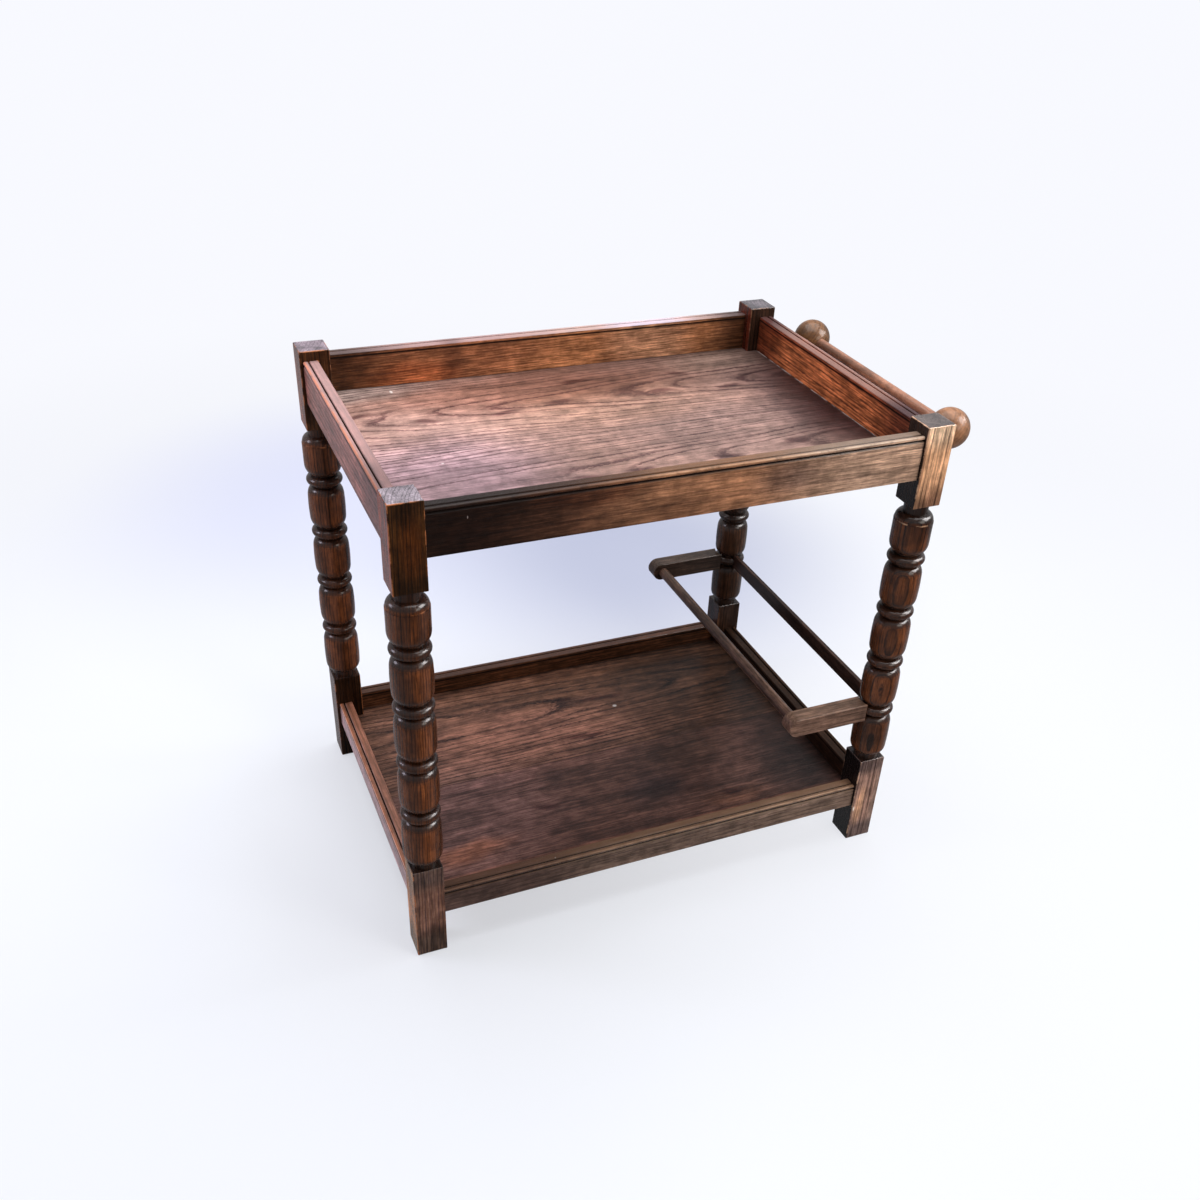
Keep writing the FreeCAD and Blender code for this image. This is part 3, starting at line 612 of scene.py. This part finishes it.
def figure_group():
    """Oak figure round a pith line. The grain runs along the first axis of its place input."""
    group = bpy.data.node_groups.new("oak_figure", "ShaderNodeTree")
    for name in ("Place", "Pith", "Lean", "Seed"):
        group.interface.new_socket(name=name, in_out="INPUT", socket_type="NodeSocketVector")
    for name in ("Ring", "Waviness", "Ragged"):
        group.interface.new_socket(name=name, in_out="INPUT", socket_type="NodeSocketFloat")
    for name in ("Early", "Pores", "Fibre", "Mottle", "Streak"):
        group.interface.new_socket(name=name, in_out="OUTPUT", socket_type="NodeSocketFloat")
    tree = Tree(group)
    given = tree.add("NodeGroupInput").outputs
    place = given["Place"]
    seeded = tree.vector("ADD", place, given["Seed"])
    # Slow waves and small curls bend the rings
    slow = tree.noise(tree.vector("MULTIPLY", seeded, WAVE_SCALE), SMOOTH_DETAIL, output="Color")
    quick = tree.noise(tree.vector("MULTIPLY", seeded, CURL_SCALE), PLAIN_DETAIL, output="Color")
    slow = tree.vector("SUBTRACT", slow, NOISE_MIDDLE)
    quick = tree.vector("SUBTRACT", quick, NOISE_MIDDLE)
    shift = tree.vector("MULTIPLY_ADD", quick, CURL_SHARES, slow)
    waviness = tree.combine(given["Waviness"], given["Waviness"], given["Waviness"])
    shift = tree.vector("MULTIPLY", shift, waviness)
    along = tree.separate(place)[0]
    pith = tree.vector("MULTIPLY_ADD", given["Lean"], tree.combine(along, along, along), given["Pith"])
    out = tree.vector("SUBTRACT", tree.vector("ADD", place, shift), pith)
    across = tree.vector("MULTIPLY", out, (0.0, 1.0, 1.0))
    rings = tree.math("DIVIDE", tree.vector("LENGTH", across), given["Ring"])
    # Rings of uneven width with ragged edges
    seed = tree.separate(given["Seed"])[0]
    uneven = tree.noise(tree.combine(tree.math("MULTIPLY", rings, WIDTH_RATE), seed), SMOOTH_DETAIL)
    rings = tree.math("MULTIPLY_ADD", uneven, WIDTH_CHANGE, rings)
    ragged = tree.noise(tree.vector("MULTIPLY", seeded, RAGGED_SCALE))
    rings = tree.math("MULTIPLY_ADD", ragged, given["Ragged"], rings)
    year = tree.math("FLOOR", rings)
    share = tree.math("FRACT", rings)
    # Early wood sets in at the end of one ring and fades over the first third of the next
    onset = tree.smooth(share, *ONSET_RANGE)
    fade = tree.smooth(share, *FADE_RANGE, 1.0, 0.0)
    early = tree.either(onset, fade)
    # Some years are stronger than others, and each changes along the grain
    drift = tree.math("MULTIPLY", along, YEAR_SCALE)
    strength = tree.noise(tree.combine(tree.math("MULTIPLY", year, STRENGTH_RATE), seed, drift))
    early = tree.both(early, tree.smooth(strength, *STRENGTH_RANGE, WEAK_YEAR_SHARE, 1.0))
    fibre = tree.noise(tree.vector("MULTIPLY", seeded, FIBRE_SCALE), FINE_DETAIL, FINE_ROUGHNESS)
    # Pores are short dashes, most of them in the early wood
    dashes = tree.noise(tree.vector("MULTIPLY", seeded, PORE_SCALE))
    dashes = tree.smooth(dashes, *DASH_RANGE)
    pores = tree.both(dashes, tree.math("MULTIPLY_ADD", early, EARLY_PORE_SHARE, LATE_PORE_SHARE))
    early = tree.both(early, tree.smooth(fibre, *EARLY_FIBRE_RANGE, EARLY_FIBRE_SHARE, 1.0))
    mottle = tree.noise(tree.vector("MULTIPLY", seeded, MOTTLE_SCALE), FINE_DETAIL, FINE_ROUGHNESS)
    streak = tree.noise(tree.vector("MULTIPLY", seeded, STREAK_SCALE), FINE_DETAIL, COARSE_ROUGHNESS)
    done = tree.add("NodeGroupOutput").inputs
    results = {"Early": early, "Pores": pores, "Fibre": fibre, "Mottle": mottle, "Streak": streak}
    for name, socket in results.items():
        tree.put(done[name], socket)
    return group


FIGURE = figure_group()


class Oak:
    """One oak material: its figure, its stain and its wear, put together step by step."""

    def __init__(self, node, grain, look):
        self.node = node
        self.look = look
        self.material = bpy.data.materials.new("oak_" + node)
        self.material.use_nodes = True
        self.tree = Tree(self.material.node_tree)
        tree = self.tree
        low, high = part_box(node)
        self.middle = (low + high) / 2
        self.half = (high - low) / 2
        world_place = tree.add("ShaderNodeTexCoord").outputs["Object"]
        self.place = tree.vector("SUBTRACT", world_place, tuple(self.middle))
        self.x, self.y, self.z = tree.separate(self.place)
        orders = {"X": (self.x, self.y, self.z), "Y": (self.y, self.x, self.z), "Z": (self.z, self.x, self.y)}
        self.grain_place = tree.combine(*orders[grain])
        normal = tree.add("ShaderNodeNewGeometry").outputs["True Normal"]
        self.facing_x, self.facing_y, self.facing_z = tree.separate(normal)
        patches = tree.vector("MULTIPLY", self.place, PATCH_SCALE)
        patches = tree.vector("ADD", patches, look["seed"])
        self.patches = tree.noise(patches, PATCH_DETAIL, COARSE_ROUGHNESS)
        drift = tree.noise(tree.vector("MULTIPLY", self.place, WANDER_SCALE), FINE_DETAIL, output="Color")
        drift = tree.vector("SUBTRACT", drift, NOISE_MIDDLE)
        wander = (look["wander"], look["wander"], look["wander"])
        self.wandering = tree.vector("MULTIPLY_ADD", drift, wander, self.place)
        self.dull = 0.0

    def figure(self, pith, lean):
        """Sets the oak figure round a pith that passes the middle at a place and leans from there."""
        look = self.look
        node = self.tree.add("ShaderNodeGroup", node_tree=FIGURE)
        given = {"Place": self.grain_place, "Pith": pith, "Lean": lean, "Seed": look["seed"],
                 "Ring": look["ring"], "Waviness": look["waviness"], "Ragged": look["ragged"]}
        for name, value in given.items():
            self.tree.put(node.inputs[name], value)
        self.early = node.outputs["Early"]
        self.pores = node.outputs["Pores"]
        self.fibre = node.outputs["Fibre"]
        self.mottle = node.outputs["Mottle"]
        self.streak = node.outputs["Streak"]

    def stained(self, late, early):
        """Stained wood, darkest where the early wood and the pores take it up."""
        tree = self.tree
        look = self.look
        tone = tree.mix(self.early, late, early)
        fine = look["fibre share"]
        shade = tree.smooth(self.fibre, *FIBRE_RANGE, 1 - fine, 1 + fine)
        blotch = tree.smooth(self.mottle, *MOTTLE_RANGE, look["mottle share"], MOTTLE_PALE_SHARE)
        patch = tree.smooth(self.patches, *PATCH_RANGE, *PATCH_SHARES)
        streaks = look["streak share"]
        streak = tree.smooth(self.streak, *STREAK_RANGE, 1 - streaks, 1 + streaks)
        shade = tree.both(shade, blotch, patch, streak)
        tone = tree.mix(1.0, tone, tree.combine(shade, shade, shade), "MULTIPLY")
        return tree.mix(tree.math("MULTIPLY", self.pores, look["pore share"]), tone, early)

    def stain(self):
        """Starts the wood with the look's own two tones."""
        self.tone = self.stained(self.look["late"], self.look["early"])

    def lay(self, mask, tone, blend="MIX"):
        """Lays one colour over the wood where the mask says."""
        self.tone = self.tree.mix(mask, self.tone, tone, blend)

    def worn(self, mask, threshold, soft):
        """Breaks a mask up into patches, as rubbing does."""
        tree = self.tree
        broken = tree.smooth(self.patches, threshold - soft, threshold + soft)
        return tree.both(mask, broken)

    def zone(self, centre, reach, tint, share):
        """Tints a soft patch round a place given from the piece's middle."""
        tree = self.tree
        offset = tree.vector("SUBTRACT", self.wandering, centre)
        offset = tree.vector("MULTIPLY", offset, tuple(1 / length for length in reach))
        mask = tree.smooth(tree.vector("LENGTH", offset), *ZONE_EDGE, share, 0.0)
        self.lay(mask, tint, "MULTIPLY")

    def mark(self, centre, reach, tone, share):
        """Lays a small mark of one colour at a place given from the piece's middle."""
        tree = self.tree
        offset = tree.vector("SUBTRACT", self.place, centre)
        offset = tree.vector("MULTIPLY", offset, tuple(1 / length for length in reach))
        mask = tree.smooth(tree.vector("LENGTH", offset), *MARK_EDGE, share, 0.0)
        self.lay(self.worn(mask, *MARK_BREAK), tone)

    def near_side(self, value, half, width):
        """One where the value comes within a width of its half extent, on either side."""
        size = self.tree.math("ABSOLUTE", value)
        return self.tree.smooth(size, half - width, half - width / 3)

    def faces_left(self):
        """One on faces that look to the left."""
        return self.tree.smooth(self.facing_x, *LEFT_FACES, 1.0, 0.0)

    def arris(self, first, first_half, second, second_half, width):
        """One along a corner where both values come near their half extents."""
        return self.tree.both(self.near_side(first, first_half, width),
                              self.near_side(second, second_half, width))

    def finish(self, roughness=ROUGHNESS, coat_share=COAT_SHARE, sheen_share=SHEEN_SHARE,
               front_share=FRONT_SHARE):
        """Puts the stained wood on the piece. Faces to the front shine less, and dull places not at all."""
        tree = self.tree
        shader = tree.add("ShaderNodeBsdfPrincipled")
        tree.put(shader.inputs["Base Color"], self.tone)
        uneven = tree.math("MULTIPLY_ADD", self.mottle, MOTTLE_DULL_SHARE, self.pores)
        tree.put(shader.inputs["Roughness"], tree.smooth(uneven, *DULL_RANGE, *roughness))
        front = tree.smooth(self.facing_y, *FRONT_FACES, front_share * sheen_share, sheen_share)
        bright = tree.math("SUBTRACT", 1.0, self.dull)
        tree.put(shader.inputs["Specular IOR Level"], tree.math("MULTIPLY", front, bright))
        end_faces = tree.smooth(tree.math("ABSOLUTE", self.facing_x), *FLAT_FACES)
        long_faces = tree.smooth(tree.math("ABSOLUTE", self.facing_y), *FLAT_FACES)
        flat = tree.either(end_faces, long_faces)
        tree.put(shader.inputs["Coat Weight"], tree.smooth(flat, 0.0, 1.0, coat_share, FLAT_COAT_SHARE))
        shader.inputs["Coat Roughness"].default_value = COAT_ROUGHNESS
        bump = tree.add("ShaderNodeBump")
        bump.inputs["Strength"].default_value = BUMP_STRENGTH
        bump.inputs["Distance"].default_value = BUMP_DEPTH
        dents = tree.math("MULTIPLY", self.pores, -1.0)
        tree.put(bump.inputs["Height"], tree.math("MULTIPLY_ADD", self.fibre, FIBRE_RISE_SHARE, dents))
        tree.put(shader.inputs["Normal"], bump.outputs["Normal"])
        output = tree.add("ShaderNodeOutputMaterial")
        tree.put(output.inputs["Surface"], shader.outputs[0])
        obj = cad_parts[self.node]
        if not obj.material_slots:
            obj.data.materials.append(self.material)
        for slot in obj.material_slots:
            slot.material = self.material


def dress_post(node):
    """A post: dark stain on the turned shaft with painted shade in its necks and under its swellings, painted
    light and shade on its left faces, worn arrises on the blocks and end grain on top with a painted sheen.
    """
    look = {**POST_FIGURE, **POST_LOOKS[node]}
    oak = Oak(node, "Z", look)
    tree = oak.tree
    oak.figure(look["pith"], look["lean"])
    height = tree.math("ADD", oak.z, oak.middle.z)
    below = tree.math("LESS_THAN", height, FOOT_BLOCK_TOP)
    above = tree.math("GREATER_THAN", height, TOP_BLOCK_BOTTOM)
    block = tree.math("ADD", below, above)
    shaft = tree.math("SUBTRACT", 1.0, block)
    turned = oak.stained(look["shaft late"], look["shaft early"])
    squared = oak.stained(look["late"], look["early"])
    oak.tone = tree.mix(shaft, squared, turned)
    oak.lay(below, look["foot tint"], "MULTIPLY")
    for zone in look["zones"]:
        oak.zone(*zone)
    # Dark stain and painted shade in the necks, dark stain on the beads and the domes, painted shade under
    # the swellings
    radius = tree.vector("LENGTH", tree.combine(oak.x, oak.y))
    hollow = tree.smooth(radius, NECK_RADIUS - HOLLOW_DEPTH, NECK_RADIUS + HOLLOW_RISE, NECK_STAIN_AND_SHADE_SHARE, 0.0)
    under = tree.smooth(oak.facing_z, *UNDER_FACES, UNDER_SHADE_SHARE, 0.0)
    over = tree.smooth(oak.facing_z, *OVER_FACES, 0.0, OVER_SHARE)
    nearest = 1.0
    for ring in range(BEAD_COUNT):
        gap = tree.math("ABSOLUTE", tree.math("SUBTRACT", height, FIRST_BEAD + ring * BEAD_PITCH))
        nearest = tree.math("MINIMUM", nearest, gap)
    beads = tree.smooth(nearest, BEAD_HALF, BEAD_HALF + BEAD_EDGE, BEAD_SHARE, 0.0)
    oak.lay(tree.both(shaft, tree.either(hollow, under, over, beads)), DIRT_AND_SHADE)
    # Painted light and shade on faces that look to the left: paler on most posts, near black on the front
    # right one
    left = oak.faces_left()
    oak.lay(tree.both(above, left), look["left painted shading"], "MULTIPLY")
    oak.lay(tree.both(below, left), look["foot left painted shading"], "MULTIPLY")
    # Worn arrises of the blocks and of the head, and end grain on top, its grey-lilac tone partly painted
    # sheen
    shoulder = tree.math("ABSOLUTE", tree.math("SUBTRACT", height, DOME_ARRIS))
    shoulder = tree.both(shaft, tree.smooth(shoulder, SHOULDER_NEAR, SHOULDER_FAR, 1.0, 0.0))
    upright = oak.arris(oak.x, POST_HALF, oak.y, POST_HALF, ARRIS_WIDTH)
    rim = tree.smooth(height, CART_TOP - ARRIS_WIDTH, CART_TOP - ARRIS_WIDTH / 3)
    side = tree.either(oak.near_side(oak.x, POST_HALF, ARRIS_WIDTH),
                       oak.near_side(oak.y, POST_HALF, ARRIS_WIDTH))
    wear = tree.either(tree.both(block, upright), tree.both(rim, side), shoulder)
    end = tree.both(tree.smooth(oak.facing_z, *END_FACES),
                    tree.smooth(height, CART_TOP - END_LOW, CART_TOP - END_HIGH))
    oak.lay(end, oak.stained(look["end late with painted sheen"], look["end early with painted sheen"]))
    oak.lay(oak.worn(wear, *ARRIS_BREAK), look["worn"])
    for mark in look["marks"]:
        oak.mark(*mark)
    oak.finish(POST_ROUGHNESS, POST_COAT_SHARE, POST_SHEEN_SHARE, POST_FRONT_SHARE)


def groove(tree, across, start, width, deep):
    """Painted shade in the quirk that begins at a distance from the corner, more of it towards the bead and
    deeper in.
    """
    span = tree.both(tree.smooth(across, start - QUIRK_SOFTNESS, start + QUIRK_SOFTNESS),
                     tree.smooth(across, start + width / 2, start + width, 1.0, 0.0))
    return tree.both(span, tree.smooth(deep, 0.0, QUIRK_SOFTNESS, 0.0, GROOVE_SHADE_SHARE))


def dress_rail(node, number):
    """A rail: painted light and shade on its top faces and its left faces, a rubbed crest with a painted
    highlight on its bead, and painted shade in the two quirks beside it.
    """
    seed = (RAIL_SEED[0] * number, RAIL_SEED[1] * number, RAIL_SEED[2])
    look = {**RAIL_FIGURE, **RAIL_LOOKS[node], "seed": seed}
    along = "X" if node.endswith(("front", "back")) else "Y"
    oak = Oak(node, along, look)
    tree = oak.tree
    oak.figure(look["pith"], look["lean"])
    oak.stain()
    # Distances in from the outer face and down from the top
    outward = {"front": (oak.y, -1), "back": (oak.y, 1), "left": (oak.x, -1), "right": (oak.x, 1)}
    across, sign = outward[node.split("_")[-1]]
    thickness = oak.half.y if along == "X" else oak.half.x
    inset = tree.math("SUBTRACT", thickness, tree.math("MULTIPLY", across, float(sign)))
    drop = tree.math("SUBTRACT", oak.half.z, oak.z)
    # Painted light and shade: upward faces of the moulding take a colour of their own, paler or darker as
    # light falls on them
    painted_top_light = tree.smooth(oak.facing_z, *MOULDING_TOPS)
    oak.lay(tree.math("MULTIPLY", painted_top_light, look["top painted light share"]), look["top"])
    # The rubbed crest of the bead, its pale colour partly a painted highlight
    crest = tree.both(tree.smooth(inset, 0.0, CREST_WIDTH, 1.0, 0.0),
                      tree.smooth(drop, 0.0, CREST_HEIGHT, 1.0, 0.0))
    oak.lay(oak.worn(tree.math("MULTIPLY", crest, look["rub and highlight share"]), *CREST_BREAK), look["worn"])
    for zone in look["zones"]:
        oak.zone(*zone)
    # Painted light: faces that look to the left are made paler, and lilac on the lower left rail
    left = oak.faces_left()
    oak.lay(left, look["left painted shading"], "MULTIPLY")
    # Painted shade in the two quirks, where the wood also loses its shine
    oak.dull = tree.either(groove(tree, inset, BEAD_WIDTH, TOP_QUIRK, drop),
                           groove(tree, drop, BEAD_HEIGHT, FACE_QUIRK, inset))
    oak.lay(oak.dull, DIRT_AND_SHADE)
    for mark in look["marks"]:
        oak.mark(*mark)
    oak.finish(sheen_share=look["sheen share"])


def dress_board(node, look):
    """Board faced with two leaves, each with a pith and a lean of its own."""
    oak = Oak(node, "X", look)
    tree = oak.tree
    back = tree.math("GREATER_THAN", oak.y, SEAM)
    pith = tree.mix(back, look["front pith"], look["back pith"], kind="VECTOR")
    lean = tree.mix(back, look["front lean"], look["back lean"], kind="VECTOR")
    oak.figure(pith, lean)
    oak.early = tree.both(oak.early, tree.smooth(back, 0.0, 1.0, look["front line share"], 1.0))
    oak.stain()
    oak.lay(tree.math("SUBTRACT", 1.0, back), look["front tint"], "MULTIPLY")
    for flame_x, flame_y in look["flames"]:
        oak.zone((flame_x, flame_y, 0), FLAME_REACH, FLAME_TINT, FLAME_SHARE)
    for zone in look["zones"]:
        oak.zone(*zone)
    band = tree.smooth(oak.y, -oak.half.y + BAND_START, -oak.half.y + BAND_END, 1.0, 0.0)
    oak.lay(band, look["band"], "MULTIPLY")
    joint = tree.math("ABSOLUTE", tree.math("SUBTRACT", oak.y, SEAM))
    joint = tree.smooth(joint, JOINT_NEAR, JOINT_FAR, JOINT_SHARE, 0.0)
    oak.lay(joint, DIRT_AND_SHADE)
    # Painted shade along the edges, where the board meets the rails
    edge_shade = tree.either(oak.near_side(oak.x, oak.half.x, EDGE_SHADE_WIDTH),
                       oak.near_side(oak.y, oak.half.y, EDGE_SHADE_WIDTH))
    oak.lay(tree.math("MULTIPLY", edge_shade, EDGE_SHADE_SHARE), DIRT_AND_SHADE)
    line = tree.smooth(oak.x, oak.half.x - DUST_START, oak.half.x - DUST_END)
    oak.lay(tree.math("MULTIPLY", oak.worn(line, *DUST_BREAK), look["dust share"]), DUST)
    for mark in look["marks"]:
        oak.mark(*mark)
    oak.finish(BOARD_ROUGHNESS)


def dress_plain(node, grain, look):
    """A piece with plain, even wood: a ball, a rod, a pillar, an arm or the slat."""
    oak = Oak(node, grain, look)
    oak.figure(PLAIN_PITH, PLAIN_LEAN)
    oak.stain()
    # Painted light: upward faces are made paler
    oak.lay(oak.tree.smooth(oak.facing_z, *PLAIN_TOPS), look["top painted light tint"], "MULTIPLY")
    oak.finish(coat_share=look["coat share"])


bpy.context.scene.view_settings.view_transform = "Standard"
make_camera()
make_floor()
make_world()
for lamp in LAMPS:
    area_lamp(**lamp)

for node in POST_LOOKS:
    dress_post(node)
rails = sorted(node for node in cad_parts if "_rail_" in node)
for number, node in enumerate(rails):
    dress_rail(node, number + 1)
dress_board("upper_board", UPPER_BOARD)
dress_board("lower_board", LOWER_BOARD)
dress_plain("handle_ball_front", "Y", FRONT_BALL)
dress_plain("handle_rod", "Y", HANDLE)
dress_plain("handle_ball_back", "Y", BACK_BALL)
for node in ("handle_pillar_front", "handle_pillar_back"):
    dress_plain(node, "X", PILLAR)
dress_plain("rack_arm_front", "X", FRONT_ARM)
dress_plain("rack_arm_back", "X", BACK_ARM)
dress_plain("rack_rod", "Y", RACK)
dress_plain("rack_slat", "Y", SLAT)
